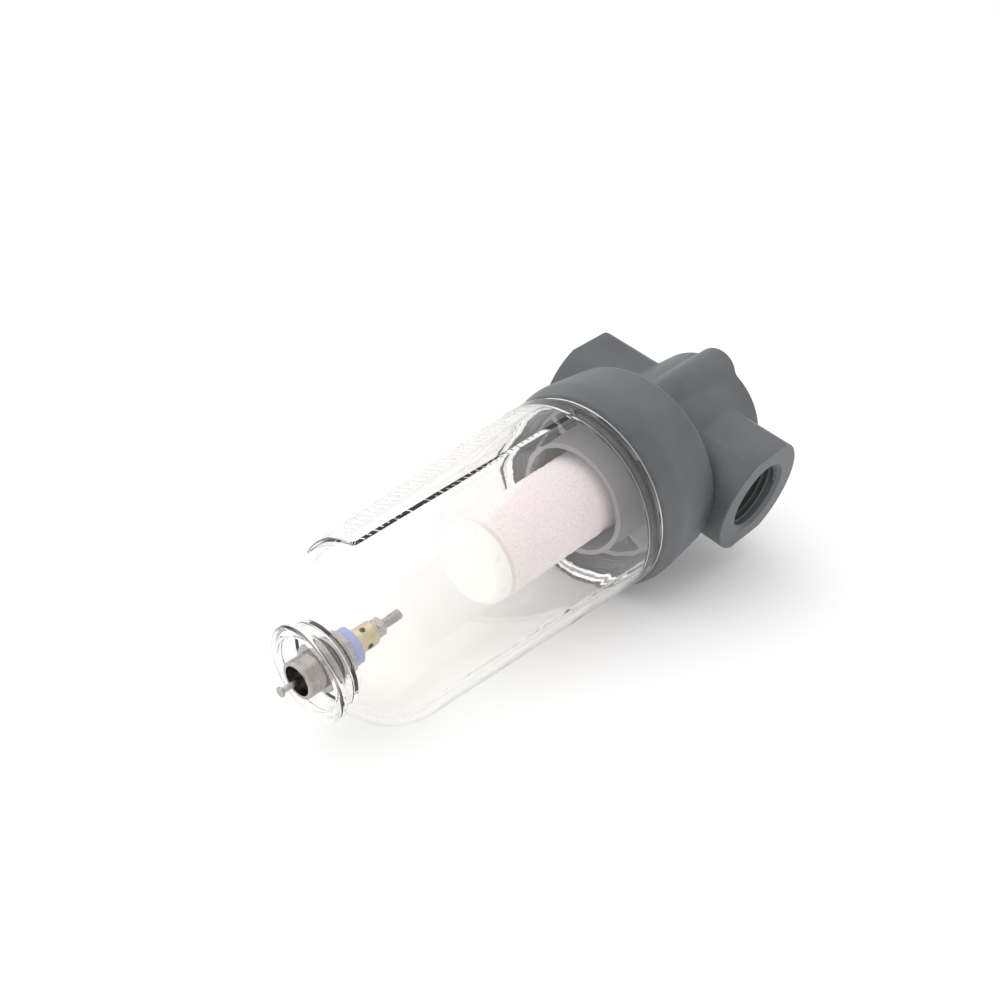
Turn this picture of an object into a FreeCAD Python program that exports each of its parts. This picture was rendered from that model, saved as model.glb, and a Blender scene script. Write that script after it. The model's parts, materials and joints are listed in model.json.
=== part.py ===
import FreeCAD
import Part
import math
import os

# Compressed air filter in its working position: the pipe runs along X through the head,
# the clear bowl hangs below it, and the origin is where the pipe line crosses the bowl's axis.
# All sizes are in millimetres.

# Head casting
PORT_FACE_X = 33.6
PORT_R = 10.0
PORT_DEPTH = 15.6
PORT_CHAMFER = 1.1
PORT_PASSAGE_R = 8.0
PORT_CONE = 1.5
PORT_THROAT = 2.0
BOSS_R = 17.4
BOSS_FLAT_Y = 15.5
BOSS_CHAMFER = 0.3
BOSS_BLEND = 1.0
HEAD_TOP_Z = 19.8
HEAD_TOP_ROUND = 1.0
BODY_R_TOP = 19.5
BODY_R_BASE = 22.2
BODY_BASE_ROUND = 2.0
BODY_BASE_BAND = 3.0
BODY_BASE_TUCK = 0.3
LOBE_R = 6.7
LOBE_Y = 16.6
LOBE_BLEND = 3.0
SEAM_Z = -39.0
COLLAR_LIP_R = 29.4
COLLAR_LIP_ROUND = 0.6
COLLAR_R = 30.8
COLLAR_WIDEST_Z = -34.0
COLLAR_SIDE_ROUND = 12.0
COLLAR_TOP_R = 29.0
COLLAR_TOP_Z = -15.8
COLLAR_TOP_ROUND = 2.4
BRACKET_HOLE_R = 2.5
BRACKET_HOLE_DEPTH = 11.0

# Socket for the bowl, and the passages above it
SOCKET_R = 27.3
SOCKET_TOP_Z = -23.0
SOCKET_CHAMFER = 0.8
CHAMBER_R = 24.3
CHAMBER_TOP_Z = -17.0
HUB_R = 12.5
HUB_FACE_Z = -27.0
OUTLET_BORE_R = 7.0
STUD_R = 2.5
STUD_TOP_Z = 13.5
STUD_HOLE_SPARE = 0.5
DROP_HOLE_R = 3.4
DROP_HOLE_X = -17.9
DROP_HOLE_PITCH = 5.0

# Bowl
BOWL_R = 29.0
BOWL_DRAFT = 0.056
BOWL_WALL = 2.0
BOWL_NECK_R = 27.0
BOWL_NECK_BORE_R = 24.2
BOWL_NECK_TOP_Z = -25.2
BOWL_SHOULDER_Z = -39.4
BOWL_SHOULDER_DEPTH = 5.0
BOWL_SHOULDER_ROUND = 0.8
BOWL_INSIDE_ROUND = 3.0
BOWL_END_Z = -132.5
BOWL_FLOOR_Z = -130.0
BOWL_END_ROUND = 17.0
FOOT_R = 12.9
FOOT_LIP = 2.0
FOOT_LIP_ROUND = 0.8
FOOT_NECK_R = 11.4
FOOT_NECK_ROUND = 1.0
FOOT_RECESS_R = 10.0
FOOT_Z = -138.3
PANEL_RISE = 0.9
PANEL_TOP_Z = -42.0
PANEL_END_Z = -118.0
PANEL_FACING_DEG = -135.0
PANEL_TOP_WIDTH = 36.0
PANEL_END_WIDTH = 22.5
PANEL_CORNER = 1.5
SEAL_SECTION_R = 0.95
SEAL_R = 25.7

# Deflector
DEFLECTOR_WEB = 2.0
DEFLECTOR_RIM_R = 23.3
DEFLECTOR_RIM_WALL = 1.3
DEFLECTOR_RIM_LOW_Z = -33.0
DEFLECTOR_RIM_TOP_Z = -25.6
SKIRT_R = 17.0
SKIRT_WALL = 1.5
SKIRT_END_Z = -44.0
VANE_COUNT = 8
VANE_THICKNESS = 1.2
VANE_TILT_DEG = 50.0
VANE_BITE = 0.4
VANE_LENGTH = 8.0
VANE_CHORD = 14.0

# Element and what clamps it
ELEMENT_R = 12.0
ELEMENT_BORE_R = 6.3
ELEMENT_END_Z = -79.5
ELEMENT_EDGE_ROUND = 0.4
GASKET_R = 11.7
GASKET_THICKNESS = 1.2
RETAINER_HEIGHT = 4.0
RETAINER_LOW_R = 11.4
RETAINER_ROUND = 3.0
RETAINER_WALL = 1.6
GRIP_COUNT = 8
GRIP_R = 1.6
GRIP_CENTRE_R = 12.6

# Drain
DRAIN_HOLE_R = 4.8
DRAIN_SHANK_R = 4.7
DRAIN_FLANGE_R = 6.4
DRAIN_GASKET_R = 6.2
DRAIN_GASKET_THICKNESS = 1.4
DRAIN_FLANGE_THICKNESS = 1.6
DRAIN_NOZZLE_R = 5.0
DRAIN_NOZZLE_BORE_R = 4.0
DRAIN_OPENING_Z = -140.8
DRAIN_SEAT_LOW_Z = -133.0
DRAIN_SEAT_Z = -131.0
DRAIN_SEAT_BORE_R = 1.8
DRAIN_UPPER_BORE_R = 3.35
DRAIN_SHANK_TOP_Z = -126.7
LOCK_WASHER_R = 5.9
LOCK_WASHER_THICKNESS = 0.6
LOCK_NUT_R = 5.3
LOCK_NUT_GROOVES = 3
BLUE_RING_R = 4.8
BLUE_RING_THICKNESS = 2.4
SLEEVE_R = 3.2
SLEEVE_BORE_R = 2.6
SLEEVE_TOP_Z = -117.9
SLEEVE_ROOF = 1.1
SLEEVE_END_Z = -128.8
SLEEVE_FLANGE_R = 3.9
SLEEVE_FLANGE = 0.8
SLEEVE_PORT_R = 0.8
SLEEVE_PORT_Z = -121.2
STEM_R = 1.1
STEM_PIN_R = 0.75
STEM_TOP_Z = -108.6
STEM_HEAD_Z = -145.9
STEM_HEAD_R = 1.35
STEM_HEAD_THICKNESS = 0.7
STEM_SHOULDER_R = 2.1
STEM_SHOULDER = 0.7
VALVE_SEAL_R = 2.35
VALVE_SEAL_THICKNESS = 1.6
SPRING_R = 1.85
SPRING_WIRE_R = 0.28
SPRING_TURNS = 5
SPRING_SEAT_GAP = 0.02
NUT_FLATS = 5.0
NUT_THICKNESS = 2.0
NUT_WASHER_R = 2.6
NUT_WASHER_THICKNESS = 0.6
RUN_CLEARANCE = 0.08

# How far a cutting tool runs past the face that it cuts through
OVERRUN = 1.0

X_AXIS = FreeCAD.Vector(1, 0, 0)
Y_AXIS = FreeCAD.Vector(0, 1, 0)
Z_AXIS = FreeCAD.Vector(0, 0, 1)
ORIGIN = FreeCAD.Vector(0, 0, 0)


def rounded_outline(corners):
    """Closed wire in the XZ plane from (r, z) or (r, z, corner radius) points."""
    count = len(corners)
    points = [FreeCAD.Vector(c[0], 0, c[1]) for c in corners]
    starts = []
    ends = []
    edges = []
    for i, corner in enumerate(corners):
        radius = corner[2] if len(corner) > 2 else 0.0
        here = points[i]
        to_last = points[i - 1].sub(here).normalize()
        to_next = points[(i + 1) % count].sub(here).normalize()
        if radius == 0.0:
            starts.append(here)
            ends.append(here)
            continue
        half = to_last.getAngle(to_next) / 2
        reach = radius / math.tan(half)
        middle = to_last.add(to_next).normalize()
        crest = here.add(middle * (radius / math.sin(half) - radius))
        starts.append(here.add(to_last * reach))
        ends.append(here.add(to_next * reach))
        edges.append(Part.Arc(starts[i], crest, ends[i]).toShape())
    for i in range(count):
        following = starts[(i + 1) % count]
        if ends[i].distanceToPoint(following) > 1e-6:
            edges.append(Part.LineSegment(ends[i], following).toShape())
    return Part.Wire(Part.__sortEdges__(edges))


def turned(corners):
    """Solid turned about the Z axis from an outline."""
    return Part.Face(rounded_outline(corners)).revolve(ORIGIN, Z_AXIS, 360)


def turned_about_x(corners):
    """Solid turned about the X axis, its outline given as (r, x) points."""
    solid = turned(corners)
    solid.rotate(ORIGIN, Y_AXIS, 90)
    return solid


def rod(radius, z_low, z_high, x=0.0, y=0.0):
    return Part.makeCylinder(radius, z_high - z_low, FreeCAD.Vector(x, y, z_low), Z_AXIS)


def ring(r_out, r_in, z_low, z_high):
    return rod(r_out, z_low, z_high).cut(rod(r_in, z_low - OVERRUN, z_high + OVERRUN))


def hexagon(flats, z_low, z_high):
    corner_r = flats / math.sqrt(3)
    corners = []
    for i in range(7):
        angle = math.radians(60 * i)
        corners.append(FreeCAD.Vector(corner_r * math.cos(angle), corner_r * math.sin(angle), z_low))
    face = Part.Face(Part.makePolygon(corners))
    return face.extrude(FreeCAD.Vector(0, 0, z_high - z_low))


def hex_nut(flats, bore_r, z_low, z_high):
    """Hexagon nut whose corners are turned off at both faces."""
    corner_r = flats / math.sqrt(3)
    turn_off = (corner_r - flats / 2) * math.tan(math.radians(30))
    blank = turned([
        (0, z_low), (flats / 2, z_low), (corner_r, z_low + turn_off),
        (corner_r, z_high - turn_off), (flats / 2, z_high), (0, z_high)])
    return hexagon(flats, z_low, z_high).common(blank).cut(rod(bore_r, z_low - OVERRUN, z_high + OVERRUN))


def bowl_outer_r(z):
    """Outside radius of the drafted bowl wall at a height."""
    return BOWL_R - BOWL_DRAFT * (BOWL_SHOULDER_Z - z)


def body_r(z):
    """Radius of the drafted round body of the head at a height."""
    share = (z - SOCKET_TOP_Z) / (HEAD_TOP_Z - SOCKET_TOP_Z)
    return BODY_R_BASE + (BODY_R_TOP - BODY_R_BASE) * share


def lobed_body():
    """Round body of the head with its two screw lobes blended into it, rounded on top."""
    solid = turned([
        (0, SOCKET_TOP_Z), (BODY_R_BASE, SOCKET_TOP_Z), (BODY_R_TOP, HEAD_TOP_Z), (0, HEAD_TOP_Z)])
    for side in (-1, 1):
        solid = solid.fuse(rod(LOBE_R, SOCKET_TOP_Z, HEAD_TOP_Z, 0, side * LOBE_Y))
    solid = solid.removeSplitter()
    valleys = [
        e for e in solid.Edges
        if e.BoundBox.ZLength > HEAD_TOP_Z and abs(e.CenterOfMass.x) > LOBE_R / 2
        and abs(e.CenterOfMass.y) > LOBE_Y / 2]
    solid = solid.makeFillet(LOBE_BLEND, valleys)
    top_edges = [e for e in solid.Edges if e.BoundBox.ZMin > HEAD_TOP_Z - 0.01]
    return solid.makeFillet(HEAD_TOP_ROUND, top_edges)


def port_bosses():
    """Round boss through the head for both ports, with a flat in front and behind."""
    boss = turned_about_x([
        (0, -PORT_FACE_X), (BOSS_R - BOSS_CHAMFER, -PORT_FACE_X), (BOSS_R, -PORT_FACE_X + BOSS_CHAMFER),
        (BOSS_R, PORT_FACE_X - BOSS_CHAMFER), (BOSS_R - BOSS_CHAMFER, PORT_FACE_X), (0, PORT_FACE_X)])
    between_flats = Part.makeBox(
        2 * PORT_FACE_X, 2 * BOSS_FLAT_Y, 2 * BOSS_R,
        FreeCAD.Vector(-PORT_FACE_X, -BOSS_FLAT_Y, -BOSS_R))
    return boss.common(between_flats)


def head_outside():
    solid = lobed_body().fuse(port_bosses()).removeSplitter()
    # The bosses meet the body in edges that lie between the body's middle and the port faces.
    junctions = []
    for edge in solid.Edges:
        box = edge.BoundBox
        nearest_x = min(abs(box.XMin), abs(box.XMax))
        farthest_x = max(abs(box.XMin), abs(box.XMax))
        if box.XMin * box.XMax > 0 and nearest_x > BOSS_R / 2 and farthest_x < BODY_R_BASE and box.ZLength > 3:
            junctions.append(edge)
    solid = solid.makeFillet(BOSS_BLEND, junctions)
    # The collar carries the round at the body's foot, and a band above it that runs into the body.
    band_z = COLLAR_TOP_Z + BODY_BASE_BAND
    collar = turned([
        (0, SEAM_Z), (COLLAR_LIP_R, SEAM_Z, COLLAR_LIP_ROUND),
        (COLLAR_R, COLLAR_WIDEST_Z, COLLAR_SIDE_ROUND), (COLLAR_TOP_R, COLLAR_TOP_Z, COLLAR_TOP_ROUND),
        (body_r(COLLAR_TOP_Z), COLLAR_TOP_Z, BODY_BASE_ROUND),
        (body_r(band_z) - BODY_BASE_TUCK, band_z), (0, band_z)])
    return solid.fuse(collar).removeSplitter()


def port_bore(side):
    """One pipe port: entry chamfer, tapping bore and the passage behind it."""
    shoulder = PORT_FACE_X - PORT_DEPTH
    throat = shoulder - PORT_CONE
    bore = turned_about_x([
        (0, PORT_FACE_X + OVERRUN), (PORT_R + PORT_CHAMFER + OVERRUN, PORT_FACE_X + OVERRUN),
        (PORT_R, PORT_FACE_X - PORT_CHAMFER), (PORT_R, shoulder), (PORT_PASSAGE_R, throat),
        (PORT_PASSAGE_R, throat - PORT_THROAT), (0, throat - PORT_THROAT)])
    if side < 0:
        bore.rotate(ORIGIN, Z_AXIS, 180)
    return bore


def build_head():
    solid = head_outside()
    for side in (-1, 1):
        solid = solid.cut(port_bore(side))
    # The outlet passage reaches the centre bore that draws from inside the element.
    outlet_passage = Part.makeCylinder(PORT_PASSAGE_R, PORT_FACE_X - PORT_DEPTH, ORIGIN, X_AXIS)
    solid = solid.cut(outlet_passage)
    solid = solid.cut(rod(OUTLET_BORE_R, HUB_FACE_Z - OVERRUN, 0))
    # Drilled holes side by side drop the inlet air into the ring chamber.
    for step in (-1, 0, 1):
        drop = rod(DROP_HOLE_R, CHAMBER_TOP_Z - OVERRUN, 0, DROP_HOLE_X, step * DROP_HOLE_PITCH)
        solid = solid.cut(drop)
    solid = solid.cut(rod(STUD_R, 0, STUD_TOP_Z + STUD_HOLE_SPARE))
    solid = solid.cut(turned([
        (0, SEAM_Z - OVERRUN), (SOCKET_R + SOCKET_CHAMFER + OVERRUN, SEAM_Z - OVERRUN),
        (SOCKET_R, SEAM_Z + SOCKET_CHAMFER), (SOCKET_R, SOCKET_TOP_Z), (0, SOCKET_TOP_Z)]))
    solid = solid.cut(ring(CHAMBER_R, HUB_R, SOCKET_TOP_Z - OVERRUN, CHAMBER_TOP_Z))
    solid = solid.fuse(ring(HUB_R, OUTLET_BORE_R, HUB_FACE_Z, CHAMBER_TOP_Z + OVERRUN))
    hole_low = HEAD_TOP_Z - BRACKET_HOLE_DEPTH
    for side in (-1, 1):
        solid = solid.cut(rod(BRACKET_HOLE_R, hole_low, HEAD_TOP_Z + OVERRUN, 0, side * LOBE_Y))
    return solid.removeSplitter()


def build_deflector():
    """Swirl ring: tilted vanes round a clamped web, a gap facing each port, and a skirt over the element."""
    rim_in = DEFLECTOR_RIM_R - DEFLECTOR_RIM_WALL
    solid = ring(SKIRT_R, OUTLET_BORE_R, HUB_FACE_Z - DEFLECTOR_WEB, HUB_FACE_Z)
    solid = solid.fuse(ring(SKIRT_R, SKIRT_R - SKIRT_WALL, SKIRT_END_Z, HUB_FACE_Z))
    solid = solid.fuse(ring(DEFLECTOR_RIM_R, rim_in, DEFLECTOR_RIM_LOW_Z, DEFLECTOR_RIM_TOP_Z))
    vane_zone = ring(
        rim_in + VANE_BITE, SKIRT_R - VANE_BITE, DEFLECTOR_RIM_LOW_Z + VANE_BITE, HUB_FACE_Z - VANE_BITE)
    middle_z = (DEFLECTOR_RIM_LOW_Z + HUB_FACE_Z) / 2
    for i in range(VANE_COUNT):
        corner = FreeCAD.Vector(SKIRT_R - OVERRUN, -VANE_THICKNESS / 2, -VANE_CHORD / 2)
        vane = Part.makeBox(VANE_LENGTH, VANE_THICKNESS, VANE_CHORD, corner)
        vane.rotate(ORIGIN, X_AXIS, VANE_TILT_DEG)
        vane.translate(FreeCAD.Vector(0, 0, middle_z))
        vane.rotate(ORIGIN, Z_AXIS, 360.0 * (i + 0.5) / VANE_COUNT)
        solid = solid.fuse(vane.common(vane_zone))
    return solid.removeSplitter()


def bowl_panel():
    """Raised panel that narrows downwards, standing proud of the drafted wall."""
    sleeve = turned([
        (0, PANEL_TOP_Z), (bowl_outer_r(PANEL_TOP_Z) + PANEL_RISE, PANEL_TOP_Z, PANEL_RISE / 2),
        (bowl_outer_r(PANEL_END_Z) + PANEL_RISE, PANEL_END_Z, PANEL_RISE / 2), (0, PANEL_END_Z)])
    outline = rounded_outline([
        (-PANEL_TOP_WIDTH / 2, PANEL_TOP_Z), (PANEL_TOP_WIDTH / 2, PANEL_TOP_Z),
        (PANEL_END_WIDTH / 2, PANEL_END_Z, PANEL_CORNER), (-PANEL_END_WIDTH / 2, PANEL_END_Z, PANEL_CORNER)])
    prism = Part.Face(outline).extrude(FreeCAD.Vector(0, 2 * BOWL_R, 0))
    prism.rotate(ORIGIN, Z_AXIS, PANEL_FACING_DEG - 90)
    return sleeve.common(prism)


def bowl_foot():
    """Ring foot round the drain, necked in above its lip and recessed underneath."""
    inside_z = BOWL_END_Z + FOOT_LIP + BOWL_WALL
    lip_top = FOOT_Z + FOOT_LIP
    return turned([
        (0, inside_z), (FOOT_NECK_R, inside_z), (FOOT_NECK_R, lip_top, FOOT_NECK_ROUND),
        (FOOT_R, lip_top, FOOT_LIP_ROUND), (FOOT_R, FOOT_Z, FOOT_LIP_ROUND),
        (FOOT_RECESS_R, FOOT_Z, FOOT_LIP_ROUND), (FOOT_RECESS_R, BOWL_END_Z, FOOT_LIP_ROUND), (0, BOWL_END_Z)])


def build_bowl():
    shoulder_end = BOWL_SHOULDER_Z - BOWL_SHOULDER_DEPTH
    outside = turned([
        (0, BOWL_NECK_TOP_Z), (BOWL_NECK_R, BOWL_NECK_TOP_Z, BOWL_SHOULDER_ROUND),
        (BOWL_NECK_R, BOWL_SHOULDER_Z), (BOWL_R, BOWL_SHOULDER_Z, BOWL_SHOULDER_ROUND),
        (bowl_outer_r(BOWL_END_Z), BOWL_END_Z, BOWL_END_ROUND), (0, BOWL_END_Z)])
    inside = turned([
        (0, BOWL_NECK_TOP_Z + OVERRUN), (BOWL_NECK_BORE_R, BOWL_NECK_TOP_Z + OVERRUN),
        (BOWL_NECK_BORE_R, BOWL_SHOULDER_Z, BOWL_INSIDE_ROUND),
        (bowl_outer_r(shoulder_end) - BOWL_WALL, shoulder_end, BOWL_INSIDE_ROUND),
        (bowl_outer_r(BOWL_FLOOR_Z) - BOWL_WALL, BOWL_FLOOR_Z, BOWL_END_ROUND - BOWL_WALL),
        (0, BOWL_FLOOR_Z)])
    solid = outside.fuse(bowl_panel()).fuse(bowl_foot()).cut(inside)
    solid = solid.cut(rod(DRAIN_HOLE_R, FOOT_Z, BOWL_FLOOR_Z + OVERRUN))
    return solid.removeSplitter()


def build_bowl_seal():
    middle_z = (SOCKET_TOP_Z + BOWL_NECK_TOP_Z) / 2
    return Part.makeTorus(SEAL_R, SEAL_SECTION_R, FreeCAD.Vector(0, 0, middle_z), Z_AXIS)


def build_element_retainer(top):
    """Cap screwed on the centre stud, with finger grips round its lower edge."""
    low = top - RETAINER_HEIGHT
    retainer = turned([
        (0, top), (ELEMENT_R, top, ELEMENT_EDGE_ROUND), (RETAINER_LOW_R, low, RETAINER_ROUND), (0, low)])
    retainer = retainer.cut(rod(STUD_R, low + RETAINER_WALL, top + OVERRUN))
    for i in range(GRIP_COUNT):
        angle = 2 * math.pi * i / GRIP_COUNT
        x = GRIP_CENTRE_R * math.cos(angle)
        y = GRIP_CENTRE_R * math.sin(angle)
        retainer = retainer.cut(rod(GRIP_R, low - OVERRUN, top - RETAINER_WALL, x, y))
    return retainer


def build_element_stack():
    """Element, its two gaskets, the screwed retainer and the centre stud."""
    top = HUB_FACE_Z - DEFLECTOR_WEB
    element_top = top - GASKET_THICKNESS
    cap_top = ELEMENT_END_Z - GASKET_THICKNESS
    stud_low = cap_top - RETAINER_HEIGHT + RETAINER_WALL
    element = turned([
        (ELEMENT_BORE_R, element_top), (ELEMENT_R, element_top, ELEMENT_EDGE_ROUND),
        (ELEMENT_R, ELEMENT_END_Z, ELEMENT_EDGE_ROUND), (ELEMENT_BORE_R, ELEMENT_END_Z)])
    return {
        "element_top_gasket": ring(GASKET_R, OUTLET_BORE_R, element_top, top),
        "filter_element": element,
        "element_bottom_gasket": ring(GASKET_R, ELEMENT_BORE_R, cap_top, ELEMENT_END_Z),
        "element_retainer": build_element_retainer(cap_top),
        "centre_stud": rod(STUD_R, stud_low, STUD_TOP_Z),
    }


def build_drain_body():
    flange_top = BOWL_END_Z - DRAIN_GASKET_THICKNESS
    flange_low = flange_top - DRAIN_FLANGE_THICKNESS
    return turned([
        (DRAIN_NOZZLE_BORE_R, DRAIN_OPENING_Z), (DRAIN_NOZZLE_R, DRAIN_OPENING_Z, 0.3),
        (DRAIN_NOZZLE_R, flange_low), (DRAIN_FLANGE_R, flange_low, 0.4), (DRAIN_FLANGE_R, flange_top),
        (DRAIN_SHANK_R, flange_top), (DRAIN_SHANK_R, DRAIN_SHANK_TOP_Z, 0.3),
        (DRAIN_UPPER_BORE_R, DRAIN_SHANK_TOP_Z), (DRAIN_UPPER_BORE_R, DRAIN_SEAT_Z),
        (DRAIN_SEAT_BORE_R, DRAIN_SEAT_Z), (DRAIN_SEAT_BORE_R, DRAIN_SEAT_LOW_Z),
        (DRAIN_NOZZLE_BORE_R, DRAIN_SEAT_LOW_Z - OVERRUN)])


def build_lock_nut(low):
    """Round clamping nut with turned grooves for the fingers."""
    high = DRAIN_SHANK_TOP_Z
    solid = ring(LOCK_NUT_R, DRAIN_SHANK_R, low, high)
    groove_step = (high - low) / (LOCK_NUT_GROOVES + 0.5)
    groove_r = 0.3 * groove_step
    for i in range(LOCK_NUT_GROOVES):
        centre = FreeCAD.Vector(0, 0, low + groove_step * (i + 0.75))
        solid = solid.cut(Part.makeTorus(LOCK_NUT_R + groove_r / 4, groove_r, centre, Z_AXIS))
    return solid


def build_drain_sleeve():
    flange_low = DRAIN_SHANK_TOP_Z + BLUE_RING_THICKNESS
    flange_high = flange_low + SLEEVE_FLANGE
    roof_low = SLEEVE_TOP_Z - SLEEVE_ROOF
    solid = turned([
        (SLEEVE_BORE_R, SLEEVE_END_Z), (SLEEVE_R, SLEEVE_END_Z), (SLEEVE_R, flange_low),
        (SLEEVE_FLANGE_R, flange_low), (SLEEVE_FLANGE_R, flange_high), (SLEEVE_R, flange_high),
        (SLEEVE_R, SLEEVE_TOP_Z, 0.4), (STEM_R + RUN_CLEARANCE, SLEEVE_TOP_Z),
        (STEM_R + RUN_CLEARANCE, roof_low), (SLEEVE_BORE_R, roof_low)])
    # Cross holes let the water reach the valve seat.
    for direction in (X_AXIS, Y_AXIS):
        start = direction * -SLEEVE_FLANGE_R
        start.z = SLEEVE_PORT_Z
        solid = solid.cut(Part.makeCylinder(SLEEVE_PORT_R, 2 * SLEEVE_FLANGE_R, start, direction))
    return solid


def build_drain_stem():
    shoulder_low = DRAIN_SEAT_Z + VALVE_SEAL_THICKNESS
    shoulder_high = shoulder_low + STEM_SHOULDER
    head_top = STEM_HEAD_Z + STEM_HEAD_THICKNESS
    return turned([
        (0, STEM_HEAD_Z), (STEM_HEAD_R, STEM_HEAD_Z, 0.25), (STEM_HEAD_R, head_top, 0.2),
        (STEM_PIN_R, head_top), (STEM_PIN_R, DRAIN_SEAT_Z - OVERRUN), (STEM_R, DRAIN_SEAT_Z),
        (STEM_R, shoulder_low), (STEM_SHOULDER_R, shoulder_low), (STEM_SHOULDER_R, shoulder_high),
        (STEM_R, shoulder_high), (STEM_R, STEM_TOP_Z, 0.3), (0, STEM_TOP_Z)])


def build_drain_spring():
    """Round-wire spring between the stem's shoulder and the sleeve's roof."""
    end_gap = SPRING_WIRE_R + SPRING_SEAT_GAP
    low = DRAIN_SEAT_Z + VALVE_SEAL_THICKNESS + STEM_SHOULDER + end_gap
    high = SLEEVE_TOP_Z - SLEEVE_ROOF - end_gap
    pitch = (high - low) / SPRING_TURNS
    path = Part.makeHelix(pitch, high - low, SPRING_R)
    path.translate(FreeCAD.Vector(0, 0, low))
    start = FreeCAD.Vector(SPRING_R, 0, low)
    rise = pitch / (2 * math.pi * SPRING_R)
    circle = Part.makeCircle(SPRING_WIRE_R, start, FreeCAD.Vector(0, 1, rise))
    print("spring: pitch %.2f mm, least gap between turns %.2f mm" % (pitch, pitch - 2 * SPRING_WIRE_R))
    return Part.Wire(path.Edges).makePipeShell([Part.Wire([circle])], True, False)


def build_drain():
    gasket_low = BOWL_END_Z - DRAIN_GASKET_THICKNESS
    washer_top = BOWL_FLOOR_Z + LOCK_WASHER_THICKNESS
    blue_top = DRAIN_SHANK_TOP_Z + BLUE_RING_THICKNESS
    nut_low = SLEEVE_TOP_Z + NUT_WASHER_THICKNESS
    return {
        "drain_body": build_drain_body(),
        "drain_gasket": ring(DRAIN_GASKET_R, DRAIN_SHANK_R, gasket_low, BOWL_END_Z),
        "drain_lock_washer": ring(LOCK_WASHER_R, DRAIN_SHANK_R, BOWL_FLOOR_Z, washer_top),
        "drain_lock_nut": build_lock_nut(washer_top),
        "drain_seal_ring": ring(BLUE_RING_R, SLEEVE_R, DRAIN_SHANK_TOP_Z, blue_top),
        "drain_sleeve": build_drain_sleeve(),
        "drain_spring": build_drain_spring(),
        "drain_valve_seal": ring(VALVE_SEAL_R, STEM_R, DRAIN_SEAT_Z, DRAIN_SEAT_Z + VALVE_SEAL_THICKNESS),
        "drain_stem": build_drain_stem(),
        "drain_nut_washer": ring(NUT_WASHER_R, STEM_R, SLEEVE_TOP_Z, nut_low),
        "drain_nut": hex_nut(NUT_FLATS, STEM_R, nut_low, nut_low + NUT_THICKNESS),
    }


def main():
    parts = {
        "head": build_head(),
        "bowl": build_bowl(),
        "bowl_seal": build_bowl_seal(),
        "deflector": build_deflector(),
    }
    parts.update(build_element_stack())
    parts.update(build_drain())
    os.makedirs("parts", exist_ok=True)
    for node, shape in parts.items():
        shape.exportStep("parts/%s.step" % node)
        print("%-22s solids %d valid %s volume %.1f mm3" % (
            node, len(shape.Solids), shape.isValid(), shape.Volume))


main()
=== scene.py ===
import json
import math

import bmesh
import bpy
from mathutils import Matrix, Vector


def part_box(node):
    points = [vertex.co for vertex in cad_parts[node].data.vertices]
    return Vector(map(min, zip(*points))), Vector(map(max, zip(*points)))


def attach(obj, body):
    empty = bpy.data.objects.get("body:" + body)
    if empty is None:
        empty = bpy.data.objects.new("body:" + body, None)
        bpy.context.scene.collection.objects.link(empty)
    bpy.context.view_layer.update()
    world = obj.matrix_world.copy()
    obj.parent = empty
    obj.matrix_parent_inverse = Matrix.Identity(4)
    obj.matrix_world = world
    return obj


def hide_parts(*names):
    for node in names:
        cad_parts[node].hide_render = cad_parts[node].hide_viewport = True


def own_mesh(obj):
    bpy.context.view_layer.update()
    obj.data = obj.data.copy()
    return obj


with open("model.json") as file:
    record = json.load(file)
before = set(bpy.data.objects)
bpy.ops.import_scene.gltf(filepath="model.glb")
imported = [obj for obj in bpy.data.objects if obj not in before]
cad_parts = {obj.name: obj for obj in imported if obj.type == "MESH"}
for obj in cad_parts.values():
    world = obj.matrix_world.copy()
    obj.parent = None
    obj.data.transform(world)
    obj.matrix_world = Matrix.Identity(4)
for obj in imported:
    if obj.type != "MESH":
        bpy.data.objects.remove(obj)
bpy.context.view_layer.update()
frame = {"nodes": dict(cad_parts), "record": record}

MM = 0.001

# The camera stands below the head and in front of the bowl, as the photograph was taken.
CAMERA_PLACE = Vector((0.14240, -0.23167, -0.26580))
CAMERA_RIGHT = Vector((0.7232, -0.1236, 0.6795))
CAMERA_UP = Vector((-0.5271, -0.7345, 0.4273))
CAMERA_LENS = 45.84

# The filter lies on the floor on its collar and the low end of its bowl.
FLOOR_UP = Vector((-0.2414, -0.9704, 0.0805)).normalized()
FLOOR_SIZE = 3.0
FLOOR_GAP = 0.1 * MM
FLOOR_COLOUR = (0.95, 0.95, 0.955, 1.0)

# Light that each source throws on the part, where 1 lights a white face to white by itself
AMBIENT_LIGHT = 1.0
KEY_LIGHT = 0.5
FILL_LIGHT = 0.3

# Way from the bowl to each lamp, how far off it stands, and the side of both
KEY_WAY = FLOOR_UP - CAMERA_RIGHT * 0.55 + CAMERA_UP * 0.35
KEY_DISTANCE = 0.9
FILL_WAY = FLOOR_UP * 0.5 - CAMERA_RIGHT - CAMERA_UP * 0.7
FILL_DISTANCE = 1.2
LAMP_SIZE = 1.5


def linear(red, green, blue):
    """Colour for a socket from its look on a screen, 0 to 255."""
    channels = []
    for value in (red, green, blue):
        share = value / 255
        channels.append(share / 12.92 if share <= 0.04045 else ((share + 0.055) / 1.055) ** 2.4)
    return (*channels, 1.0)


def add(tree, kind, inputs=None, **settings):
    """Adds a node to a tree. An input is a plain value or the socket that feeds it."""
    node = tree.nodes.new(kind)
    for name, value in settings.items():
        setattr(node, name, value)
    for name, value in (inputs or {}).items():
        if isinstance(value, bpy.types.NodeSocket):
            tree.links.new(value, node.inputs[name])
        else:
            node.inputs[name].default_value = value
    return node


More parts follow.
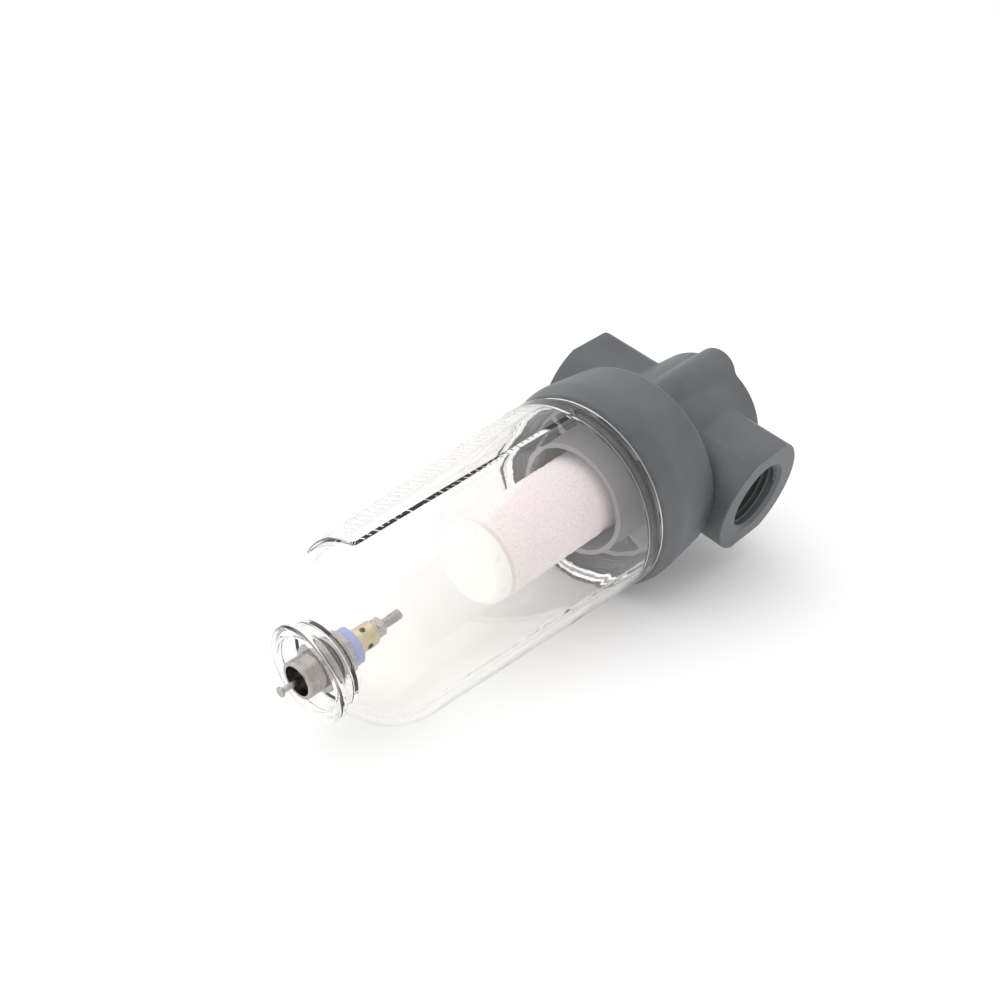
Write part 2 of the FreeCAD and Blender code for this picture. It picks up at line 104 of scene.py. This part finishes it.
def calculate(tree, operation, first, second):
    """Result of one sum on two values or sockets."""
    return add(tree, "ShaderNodeMath", {0: first, 1: second}, operation=operation).outputs[0]


def spread(tree, mask, span, least=0.0, most=1.0):
    """Number that goes from least to most as the mask goes over its span."""
    return add(tree, "ShaderNodeMapRange", {
        "Value": mask, "From Min": span[0], "From Max": span[1], "To Min": least, "To Max": most}).outputs[0]


def ramp(tree, mask, span, dark, light):
    """Colour that goes from dark to light as the mask goes over its span."""
    share = spread(tree, mask, span)
    return add(tree, "ShaderNodeMix", {0: share, 6: dark, 7: light}, data_type="RGBA").outputs[2]


def new_group(name, kind, inputs, outputs):
    """Node group with named sockets. inputs and outputs give the type of each by its name."""
    tree = bpy.data.node_groups.new(name, kind)
    for direction, sockets in (("INPUT", inputs), ("OUTPUT", outputs)):
        for label, socket_type in sockets.items():
            tree.interface.new_socket(label, in_out=direction, socket_type="NodeSocket" + socket_type)
    return tree, tree.nodes.new("NodeGroupInput").outputs, tree.nodes.new("NodeGroupOutput").inputs


def make_grain_group():
    """Fine grain of a cast or moulded skin: a height for bump, and a mask that drifts over the surface."""
    tree, given, result = new_group("Skin grain", "ShaderNodeTree", {
        "Size": "Float", "Drift Size": "Float"}, {"Height": "Float", "Drift": "Float"})
    place = add(tree, "ShaderNodeTexCoord").outputs["Object"]
    fine_scale = calculate(tree, "DIVIDE", 1.0, given["Size"])
    wide_scale = calculate(tree, "DIVIDE", 1.0, given["Drift Size"])
    fine = add(tree, "ShaderNodeTexNoise", {
        "Vector": place, "Scale": fine_scale, "Detail": 3.0, "Roughness": 0.55})
    wide = add(tree, "ShaderNodeTexNoise", {"Vector": place, "Scale": wide_scale, "Detail": 4.0})
    tree.links.new(fine.outputs[0], result["Height"])
    tree.links.new(wide.outputs[0], result["Drift"])
    return tree


# Size of the blotches on turned metal, and the share that they have in its unevenness
BLOTCH_SIZE = 2.5 * MM
BLOTCH_SHARE = 0.5


def make_turning_group():
    """Fine rings left by a lathe about the Z axis, on faces and on cylinders alike."""
    tree, given, result = new_group("Turning marks", "ShaderNodeTree", {
        "Pitch": "Float"}, {"Height": "Float", "Mask": "Float"})
    place = add(tree, "ShaderNodeTexCoord").outputs["Object"]
    parts = add(tree, "ShaderNodeSeparateXYZ", {0: place}).outputs
    flat = add(tree, "ShaderNodeCombineXYZ", {"X": parts["X"], "Y": parts["Y"]}).outputs[0]
    radius = add(tree, "ShaderNodeVectorMath", {0: flat}, operation="LENGTH").outputs["Value"]
    along = calculate(tree, "ADD", radius, parts["Z"])
    line = add(tree, "ShaderNodeCombineXYZ", {"X": along, "Y": radius}).outputs[0]
    scale = calculate(tree, "DIVIDE", 1.0, given["Pitch"])
    cut = add(tree, "ShaderNodeTexNoise", {"Vector": line, "Scale": scale, "Detail": 2.0}).outputs[0]
    blotch = add(tree, "ShaderNodeTexNoise", {
        "Vector": place, "Scale": 1 / BLOTCH_SIZE, "Detail": 2.0}).outputs[0]
    mixed = add(tree, "ShaderNodeMix", {0: BLOTCH_SHARE, 2: cut, 3: blotch}).outputs[0]
    tree.links.new(cut, result["Height"])
    tree.links.new(mixed, result["Mask"])
    return tree


GRAIN = make_grain_group()
TURNING = make_turning_group()

# Parts of a noise mask over which a colour or a roughness changes: the narrower one shows more contrast
NARROW_SPAN = (0.35, 0.65)
WIDE_SPAN = (0.3, 0.7)

SKIN_DRIFT_SIZE = 20 * MM
TURNING_PITCH = 0.12 * MM

# Clear wall: its waviness, and the part of its facing over which painted shade greys it towards the edge
CLEAR_IOR = 1.585
CLEAR_ROUGHNESS = 0.02
CLEAR_WAVE_SIZE = 9 * MM
CLEAR_WAVE_DEPTH = 0.05 * MM
CLEAR_DRIFT_SIZE = 30 * MM
CLEAR_TINTS = (0.978, 0.974, 0.955, 1.0), (0.985, 0.972, 0.968, 1.0)
CLEAR_EDGE_SHADE_SPAN = (0.72, 1.0)
CLEAR_EDGE_PAINTED_SHADE = (0.50, 0.50, 0.48, 1.0)
CLEAR_SHADOW_COLOUR = (0.95, 0.95, 0.94, 1.0)

# Number of bends after which a ray in the clear wall counts as trapped
TRAPPED_DEPTH = 5.0

# Porous element: its fused grains, the painted shade in the pits between them and the slow change of its
# colour
BEAD_SIZE = 0.4 * MM
BEAD_DEPTH = 0.03 * MM
PIT_SHADE_SPAN = (0.3, 0.8)
CLOUD_SIZE = 9 * MM
POROUS_ROUGHNESS = 0.9
POROUS_COLOURS = linear(248, 236, 239), linear(252, 244, 244)
PIT_PAINTED_SHADE = linear(234, 220, 224)


def start_material(name, plain):
    """Material with one Principled shader, whose unchanging inputs are set on its own sockets."""
    material = bpy.data.materials.new(name)
    material.use_nodes = True
    tree = material.node_tree
    tree.nodes.clear()
    surface = add(tree, "ShaderNodeBsdfPrincipled", plain)
    output = add(tree, "ShaderNodeOutputMaterial", {"Surface": surface.outputs[0]})
    return material, tree, surface, output


def add_grain(tree, size, drift_size):
    """Outputs of the grain group at the given sizes."""
    return add(tree, "ShaderNodeGroup", {"Size": size, "Drift Size": drift_size}, node_tree=GRAIN).outputs


def bump(tree, surface, height, depth):
    """Lets a height of 0 to 1 tilt the surface as if it were depth metres deep."""
    normal = add(tree, "ShaderNodeBump", {"Height": height, "Distance": depth, "Strength": 1.0})
    tree.links.new(normal.outputs[0], surface.inputs["Normal"])


def vary(tree, surface, mask, dark, light, roughness):
    """Lets colour and roughness follow a noise mask."""
    tree.links.new(ramp(tree, mask, NARROW_SPAN, dark, light), surface.inputs["Base Color"])
    tree.links.new(spread(tree, mask, WIDE_SPAN, *roughness), surface.inputs["Roughness"])


def skin_material(name, dark, light, roughness, grain_size, grain_depth):
    """Cast or moulded skin: colour and gloss drift slowly, and a fine grain breaks the highlights."""
    material, tree, surface, _ = start_material(name, {})
    grain = add_grain(tree, grain_size, SKIN_DRIFT_SIZE)
    vary(tree, surface, grain["Drift"], dark, light, roughness)
    bump(tree, surface, grain["Height"], grain_depth)
    return material


def turned_material(name, dark, light, roughness, mark_depth):
    """Turned metal with fine lathe rings and a faint unevenness."""
    material, tree, surface, _ = start_material(name, {"Metallic": 1.0})
    marks = add(tree, "ShaderNodeGroup", {"Pitch": TURNING_PITCH}, node_tree=TURNING).outputs
    vary(tree, surface, marks["Mask"], dark, light, roughness)
    bump(tree, surface, marks["Height"], mark_depth)
    return material


def clear_material():
    """Clear polycarbonate, with painted shade where the wall is seen edge on: its colour greys there in place
    of the dark lines that reflection and refraction draw along the wall. Shadows pass through it, as light
    does through the real wall, and so does light that has gone to and fro in the wall for long."""
    material, tree, surface, output = start_material("Clear polycarbonate", {
        "Transmission Weight": 1.0, "IOR": CLEAR_IOR, "Roughness": CLEAR_ROUGHNESS})
    grain = add_grain(tree, CLEAR_WAVE_SIZE, CLEAR_DRIFT_SIZE)
    tint = ramp(tree, grain["Drift"], WIDE_SPAN, *CLEAR_TINTS)
    edge_on = add(tree, "ShaderNodeLayerWeight", {"Blend": 0.5}).outputs["Facing"]
    # Painted shade: the base colour greys where the wall is seen edge on, standing in for the dark lines that
    # reflection and refraction draw there.
    shaded = ramp(tree, edge_on, CLEAR_EDGE_SHADE_SPAN, tint, CLEAR_EDGE_PAINTED_SHADE)
    tree.links.new(shaded, surface.inputs["Base Color"])
    bump(tree, surface, grain["Height"], CLEAR_WAVE_DEPTH)
    rays = add(tree, "ShaderNodeLightPath").outputs
    trapped = calculate(tree, "GREATER_THAN", rays["Ray Depth"], TRAPPED_DEPTH)
    seen_through = calculate(tree, "MAXIMUM", rays["Is Shadow Ray"], rays["Is Diffuse Ray"])
    seen_through = calculate(tree, "MAXIMUM", seen_through, trapped)
    passing = add(tree, "ShaderNodeBsdfTransparent", {"Color": CLEAR_SHADOW_COLOUR})
    both = add(tree, "ShaderNodeMixShader", {0: seen_through, 1: surface.outputs[0], 2: passing.outputs[0]})
    tree.links.new(both.outputs[0], output.inputs["Surface"])
    return material


def porous_material():
    """Sintered element: small fused grains, with painted shade darkening the pits between them."""
    material, tree, surface, _ = start_material("Porous element", {"Roughness": POROUS_ROUGHNESS})
    place = add(tree, "ShaderNodeTexCoord").outputs["Object"]
    beads = add(tree, "ShaderNodeTexVoronoi", {"Vector": place, "Scale": 1 / BEAD_SIZE}).outputs["Distance"]
    cloud = add(tree, "ShaderNodeTexNoise", {
        "Vector": place, "Scale": 1 / CLOUD_SIZE, "Detail": 3.0}).outputs[0]
    base = ramp(tree, cloud, WIDE_SPAN, *POROUS_COLOURS)
    # Painted shade: the colour darkens towards the pits between the grains, where the bump sinks.
    tree.links.new(ramp(tree, beads, PIT_SHADE_SPAN, base, PIT_PAINTED_SHADE), surface.inputs["Base Color"])
    bump(tree, surface, calculate(tree, "SUBTRACT", 1.0, beads), BEAD_DEPTH)
    return material


MATERIALS = {
    "cast_paint": skin_material(
        "Black casting paint", linear(76, 78, 80), linear(92, 94, 95), roughness=(0.36, 0.50),
        grain_size=0.55 * MM, grain_depth=0.04 * MM),
    "clear_polycarbonate": clear_material(),
    "black_nylon": skin_material(
        "Black nylon", linear(126, 124, 128), linear(138, 136, 140), roughness=(0.38, 0.55),
        grain_size=0.4 * MM, grain_depth=0.005 * MM),
    "porous_element": porous_material(),
    "cream_acetal": skin_material(
        "Cream acetal", linear(253, 250, 246), linear(255, 253, 250), roughness=(0.35, 0.5),
        grain_size=0.5 * MM, grain_depth=0.005 * MM),
    "seal_rubber": skin_material(
        "Black nitrile rubber", linear(30, 30, 31), linear(44, 44, 45), roughness=(0.55, 0.75),
        grain_size=0.3 * MM, grain_depth=0.02 * MM),
    "blue_seal": skin_material(
        "Blue seal rubber", linear(140, 154, 208), linear(160, 172, 220), roughness=(0.5, 0.7),
        grain_size=0.3 * MM, grain_depth=0.02 * MM),
    "nickel_steel": turned_material(
        "Nickel plated steel", (0.34, 0.31, 0.30, 1), (0.48, 0.45, 0.43, 1), roughness=(0.18, 0.34),
        mark_depth=0.006 * MM),
    "zinc_steel": turned_material(
        "Zinc plated steel", (0.42, 0.42, 0.42, 1), (0.56, 0.56, 0.55, 1), roughness=(0.28, 0.45),
        mark_depth=0.01 * MM),
    "turned_brass": turned_material(
        "Turned brass", (0.48, 0.40, 0.25, 1), (0.64, 0.55, 0.36, 1), roughness=(0.20, 0.36),
        mark_depth=0.006 * MM),
}
# The gasket under the element is pale, unlike the black seals of the same rubber.
NODE_MATERIALS = {
    "element_bottom_gasket": skin_material(
        "Pale nitrile rubber", linear(226, 218, 212), linear(238, 230, 226), roughness=(0.6, 0.8),
        grain_size=0.3 * MM, grain_depth=0.01 * MM),
}


def dress_nodes():
    """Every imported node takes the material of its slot, or its own where it has one."""
    for part in frame["record"]["subparts"]:
        material = NODE_MATERIALS.get(part["node"], MATERIALS[part["material_slot"]])
        for slot in frame["nodes"][part["node"]].material_slots:
            slot.material = material


def finish_tree(tree, shape, given, result):
    """Makes a tree's shape real, gives it the material and hands it out."""
    real = add(tree, "GeometryNodeRealizeInstances", {"Geometry": shape}).outputs[0]
    done = add(tree, "GeometryNodeSetMaterial", {"Geometry": real, "Material": given["Material"]}).outputs[0]
    tree.links.new(done, result["Geometry"])


# A thread's ridge: sides of its section, turns over which it fades out, and the share left at its ends
RIDGE_SIDES = 3
RUN_OUT_TURNS = 0.6
RUN_OUT_SHARE = 0.02


def make_thread_tree():
    """Screw thread: a ridge that climbs a cylinder about Z, and fades out at both ends."""
    tree, given, result = new_group("Screw thread", "GeometryNodeTree", {
        "Radius": "Float", "Depth": "Float", "Pitch": "Float", "Turns": "Float", "Steps": "Int",
        "Crest Angle": "Float", "Start": "Vector", "Direction": "Vector", "Material": "Material"},
        {"Geometry": "Geometry"})
    path = add(tree, "GeometryNodeCurveSpiral", {
        "Resolution": given["Steps"], "Rotations": given["Turns"], "Start Radius": given["Radius"],
        "End Radius": given["Radius"],
        "Height": calculate(tree, "MULTIPLY", given["Pitch"], given["Turns"])}).outputs[0]
    upright = add(tree, "GeometryNodeSetCurveNormal", {0: path}, mode="Z_UP").outputs[0]
    along = add(tree, "GeometryNodeSplineParameter").outputs["Factor"]
    nearest_end = calculate(tree, "MINIMUM", along, calculate(tree, "SUBTRACT", 1.0, along))
    turns_in = calculate(tree, "MULTIPLY", nearest_end, given["Turns"])
    fade = spread(tree, turns_in, (0.0, RUN_OUT_TURNS), RUN_OUT_SHARE)
    sized = add(tree, "GeometryNodeSetCurveRadius", {"Curve": upright, "Radius": fade}).outputs[0]
    ridge = add(tree, "GeometryNodeCurvePrimitiveCircle", {
        "Resolution": RIDGE_SIDES, "Radius": given["Depth"]}, mode="RADIUS").outputs[0]
    spin = add(tree, "ShaderNodeCombineXYZ", {"Z": given["Crest Angle"]}).outputs[0]
    profile = add(tree, "GeometryNodeTransform", {"Geometry": ridge, "Rotation": spin}).outputs[0]
    body = add(tree, "GeometryNodeCurveToMesh", {
        "Curve": sized, "Profile Curve": profile, "Fill Caps": True}).outputs[0]
    turn = add(tree, "FunctionNodeAlignRotationToVector", {"Vector": given["Direction"]}, axis="Z").outputs[0]
    placed = add(tree, "GeometryNodeTransform", {
        "Geometry": body, "Translation": given["Start"], "Rotation": turn}).outputs[0]
    finish_tree(tree, placed, given, result)
    return tree


# A level mark: steps along its arc and sides of its section
MARK_STEPS = 12
MARK_SIDES = 6


def add_mark_arc(tree, sweep, middle_angle):
    """Arc of radius 1 that sweeps to both sides of a middle angle."""
    start = calculate(tree, "SUBTRACT", middle_angle, calculate(tree, "MULTIPLY", sweep, 0.5))
    return add(tree, "GeometryNodeCurveArc", {
        "Resolution": MARK_STEPS, "Radius": 1.0, "Start Angle": start, "Sweep Angle": sweep},
        mode="RADIUS").outputs[0]


def make_graduation_tree():
    """Moulded level marks: short bars down the bowl's panel, and a longer one at every so many."""
    tree, given, result = new_group("Level marks", "GeometryNodeTree", {
        "Count": "Int", "Pitch": "Float", "Top Radius": "Float", "Draft": "Float", "Bar": "Float",
        "Top": "Float", "Middle Angle": "Float", "Short Sweep": "Float", "Long Sweep": "Float",
        "Long Every": "Int", "Material": "Material"}, {"Geometry": "Geometry"})
    steps = add(tree, "GeometryNodeMeshLine", {
        "Count": given["Count"], "Start Location": (0, 0, 0), "Offset": (0, 0, -1)}).outputs[0]
    number = add(tree, "GeometryNodeInputIndex").outputs[0]
    down = calculate(tree, "MULTIPLY", number, given["Pitch"])
    height = calculate(tree, "SUBTRACT", given["Top"], down)
    place = add(tree, "ShaderNodeCombineXYZ", {"Z": height}).outputs[0]
    points = add(tree, "GeometryNodeSetPosition", {"Geometry": steps, "Position": place}).outputs[0]
    shrink = calculate(tree, "MULTIPLY", down, given["Draft"])
    radius = calculate(tree, "SUBTRACT", given["Top Radius"], shrink)
    size = add(tree, "ShaderNodeCombineXYZ", {"X": radius, "Y": radius, "Z": 1.0}).outputs[0]
    rest = add(tree, "FunctionNodeIntegerMath", {
        0: number, 1: given["Long Every"]}, operation="MODULO").outputs[0]
    is_long = add(tree, "FunctionNodeCompare", {2: rest, 3: 0}, data_type="INT", operation="EQUAL").outputs[0]
    is_short = add(tree, "FunctionNodeBooleanMath", {0: is_long}, operation="NOT").outputs[0]
    joined = add(tree, "GeometryNodeJoinGeometry")
    for sweep, chosen in ((given["Short Sweep"], is_short), (given["Long Sweep"], is_long)):
        row = add(tree, "GeometryNodeInstanceOnPoints", {
            "Points": points, "Selection": chosen, "Scale": size,
            "Instance": add_mark_arc(tree, sweep, given["Middle Angle"])}).outputs[0]
        tree.links.new(row, joined.inputs[0])
    curves = add(tree, "GeometryNodeRealizeInstances", {"Geometry": joined.outputs[0]}).outputs[0]
    profile = add(tree, "GeometryNodeCurvePrimitiveCircle", {
        "Resolution": MARK_SIDES, "Radius": given["Bar"]}, mode="RADIUS").outputs[0]
    even = add(tree, "GeometryNodeSetCurveRadius", {"Curve": curves, "Radius": 1.0}).outputs[0]
    body = add(tree, "GeometryNodeCurveToMesh", {
        "Curve": even, "Profile Curve": profile, "Fill Caps": True}).outputs[0]
    finish_tree(tree, body, given, result)
    return tree


THREAD = make_thread_tree()
GRADUATION = make_graduation_tree()


def smooth(mesh):
    """Shades every face of a mesh smooth."""
    mesh.polygons.foreach_set("use_smooth", [True] * len(mesh.polygons))


def grow(name, tree, slot, body, **values):
    """Runs a tree on an empty mesh, keeps its result as a plain mesh and lets it ride on a body."""
    piece = bpy.data.objects.new(name, bpy.data.meshes.new(name))
    bpy.context.scene.collection.objects.link(piece)
    modifier = piece.modifiers.new(name, "NODES")
    modifier.node_group = tree
    values["material"] = MATERIALS[slot]
    labels = {item.name: item.identifier for item in tree.interface.items_tree if item.in_out == "INPUT"}
    for label, value in values.items():
        modifier[labels[label.replace("_", " ").title()]] = value
    grown = piece.evaluated_get(bpy.context.evaluated_depsgraph_get())
    mesh = bpy.data.meshes.new_from_object(grown)
    piece.modifiers.clear()
    piece.data = mesh
    smooth(mesh)
    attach(piece, body)


# Which way a thread's crest points: towards the axis in a hole, away from it on a rod
INWARD = 0.0
OUTWARD = math.pi

# Threads: radius of the plain cylinder that carries each one, ridge depth, pitch and turns
PORT_THREAD = {"radius": 10.0 * MM, "depth": 0.75 * MM, "pitch": 1.814 * MM, "turns": 6.5, "steps": 64}
LOBE_THREAD = {"radius": 2.5 * MM, "depth": 0.42 * MM, "pitch": 1.0 * MM, "turns": 9.0, "steps": 40}
NECK_THREAD = {"radius": 27.0 * MM, "depth": 0.22 * MM, "pitch": 2.0 * MM, "turns": 4.5, "steps": 96}
STEM_THREAD = {"radius": 1.1 * MM, "depth": 0.13 * MM, "pitch": 0.45 * MM, "turns": 12.0, "steps": 28}
STUD_THREAD = {"radius": 2.5 * MM, "depth": 0.3 * MM, "pitch": 0.8 * MM, "turns": 9.0, "steps": 36}

# How far each thread starts from the end of its node
PORT_THREAD_START = 1.6 * MM
LOBE_THREAD_START = 0.5 * MM
NECK_THREAD_START = 2.6 * MM
STEM_THREAD_START = 0.4 * MM

# Where the stud's thread starts, and how far each lobe's hole is from the bowl's axis
STUD_THREAD_Z = -8.0 * MM
LOBE_HOLE_Y = 16.6 * MM


def make_threads():
    """Threads of the ports, the bracket holes, the stud, the bowl's neck and the drain stem."""
    low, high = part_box("head")
    for side, face in (("inlet", low.x), ("outlet", high.x)):
        inward = 1.0 if face < 0 else -1.0
        grow("%s_port_thread" % side, THREAD, "cast_paint", "head", crest_angle=INWARD,
             start=(face + inward * PORT_THREAD_START, 0, 0), direction=(inward, 0, 0), **PORT_THREAD)
    for side, y in (("front", -LOBE_HOLE_Y), ("back", LOBE_HOLE_Y)):
        grow("%s_lobe_thread" % side, THREAD, "cast_paint", "head", crest_angle=INWARD,
             start=(0, y, high.z - LOBE_THREAD_START), direction=(0, 0, -1), **LOBE_THREAD)
    grow("stud_thread", THREAD, "zinc_steel", "head", crest_angle=OUTWARD,
         start=(0, 0, STUD_THREAD_Z), direction=(0, 0, 1), **STUD_THREAD)
    grow("bowl_neck_thread", THREAD, "clear_polycarbonate", "bowl", crest_angle=OUTWARD,
         start=(0, 0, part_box("bowl")[1].z - NECK_THREAD_START), direction=(0, 0, -1), **NECK_THREAD)
    grow("stem_thread", THREAD, "nickel_steel", "drain_stem", crest_angle=OUTWARD,
         start=(0, 0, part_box("drain_stem")[1].z - STEM_THREAD_START), direction=(0, 0, -1), **STEM_THREAD)


# Distance under which the spring's points are one
SPRING_MERGE = 0.001 * MM


def make_drain_spring():
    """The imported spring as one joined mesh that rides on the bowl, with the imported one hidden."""
    shape = bmesh.new()
    shape.from_mesh(frame["nodes"]["drain_spring"].data)
    bmesh.ops.remove_doubles(shape, verts=shape.verts, dist=SPRING_MERGE)
    mesh = bpy.data.meshes.new("squeezed_drain_spring")
    shape.to_mesh(mesh)
    shape.free()
    mesh.materials.clear()
    mesh.materials.append(MATERIALS["nickel_steel"])
    smooth(mesh)
    piece = bpy.data.objects.new("squeezed_drain_spring", mesh)
    bpy.context.scene.collection.objects.link(piece)
    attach(piece, "bowl")
    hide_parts("drain_spring")
    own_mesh(piece)


# Level marks on the bowl's raised panel, which is drafted like the wall
LEVEL_MARKS = {
    "count": 34, "pitch": 2.0 * MM, "top": -47.0 * MM, "top_radius": 29.47 * MM, "draft": 0.056,
    "bar": 0.22 * MM, "middle_angle": math.radians(-135), "short_sweep": math.radians(12),
    "long_sweep": math.radians(26), "long_every": 5}


def make_level_marks():
    """Level marks on the bowl's panel."""
    grow("bowl_level_marks", GRADUATION, "clear_polycarbonate", "bowl", **LEVEL_MARKS)


def make_camera():
    """Camera that sees the filter as the photograph does."""
    data = bpy.data.cameras.new("Photograph camera")
    data.lens = CAMERA_LENS
    camera = bpy.data.objects.new("Photograph camera", data)
    back = CAMERA_RIGHT.cross(CAMERA_UP).normalized()
    turn = Matrix((CAMERA_RIGHT, CAMERA_UP, back)).transposed()
    camera.matrix_world = Matrix.Translation(CAMERA_PLACE) @ turn.to_4x4()
    bpy.context.scene.collection.objects.link(camera)
    bpy.context.scene.camera = camera


def floor_turn():
    """Turn that lays a flat square on the floor."""
    across = FLOOR_UP.cross(CAMERA_UP).normalized()
    return Matrix((across, FLOOR_UP.cross(across), FLOOR_UP)).transposed().to_4x4()


def floor_material():
    """Pale floor that is looked through from below."""
    material = bpy.data.materials.new("Pale floor")
    material.use_nodes = True
    tree = material.node_tree
    tree.nodes.clear()
    lit = add(tree, "ShaderNodeBsdfDiffuse", {"Color": FLOOR_COLOUR}).outputs[0]
    clear = add(tree, "ShaderNodeBsdfTransparent").outputs[0]
    behind = add(tree, "ShaderNodeNewGeometry").outputs["Backfacing"]
    shown = add(tree, "ShaderNodeMixShader", {0: behind, 1: lit, 2: clear}).outputs[0]
    add(tree, "ShaderNodeOutputMaterial", {"Surface": shown})
    return material


def make_floor():
    """Floor under the lowest point of the filter, which takes its shadow."""
    lowest = min(v.co.dot(FLOOR_UP) for node in frame["nodes"].values() for v in node.data.vertices)
    half = FLOOR_SIZE / 2
    corners = [(-half, -half, 0), (half, -half, 0), (half, half, 0), (-half, half, 0)]
    mesh = bpy.data.meshes.new("Floor")
    mesh.from_pydata(corners, [], [(0, 1, 2, 3)])
    mesh.materials.append(floor_material())
    floor = bpy.data.objects.new("Floor", mesh)
    floor.matrix_world = Matrix.Translation(FLOOR_UP * (lowest - FLOOR_GAP)) @ floor_turn()
    floor.visible_diffuse = False
    floor.visible_shadow = False
    bpy.context.scene.collection.objects.link(floor)


def make_lamp(name, way, distance, strength):
    """Soft square lamp that faces the bowl, with the light that it throws there as its strength."""
    data = bpy.data.lights.new(name, "AREA")
    data.shape = "SQUARE"
    data.size = LAMP_SIZE
    data.energy = strength * math.pi ** 2 * distance ** 2
    lamp = bpy.data.objects.new(name, data)
    low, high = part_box("bowl")
    aim = Vector((0, 0, (low.z + high.z) / 2))
    away = way.normalized()
    lamp.location = aim + away * distance
    lamp.rotation_euler = away.to_track_quat("Z", "Y").to_euler()
    bpy.context.scene.collection.objects.link(lamp)


def make_light():
    """Two lamps, and surroundings that are seen as white however much light they throw on the filter."""
    world = bpy.data.worlds.new("Studio")
    bpy.context.scene.world = world
    world.use_nodes = True
    tree = world.node_tree
    tree.nodes.clear()
    rays = add(tree, "ShaderNodeLightPath").outputs
    seen = calculate(tree, "MAXIMUM", rays["Is Camera Ray"], rays["Is Glossy Ray"])
    seen = calculate(tree, "MAXIMUM", seen, rays["Is Transmission Ray"])
    strength = spread(tree, seen, (0.0, 1.0), AMBIENT_LIGHT, 1.0)
    light = add(tree, "ShaderNodeBackground", {"Color": (1, 1, 1, 1), "Strength": strength}).outputs[0]
    add(tree, "ShaderNodeOutputWorld", {"Surface": light})
    make_lamp("Key lamp", KEY_WAY, KEY_DISTANCE, KEY_LIGHT)
    make_lamp("Fill lamp", FILL_WAY, FILL_DISTANCE, FILL_LIGHT)


bpy.context.scene.view_settings.view_transform = "Standard"
make_camera()
make_floor()
make_light()
dress_nodes()
make_threads()
make_drain_spring()
make_level_marks()
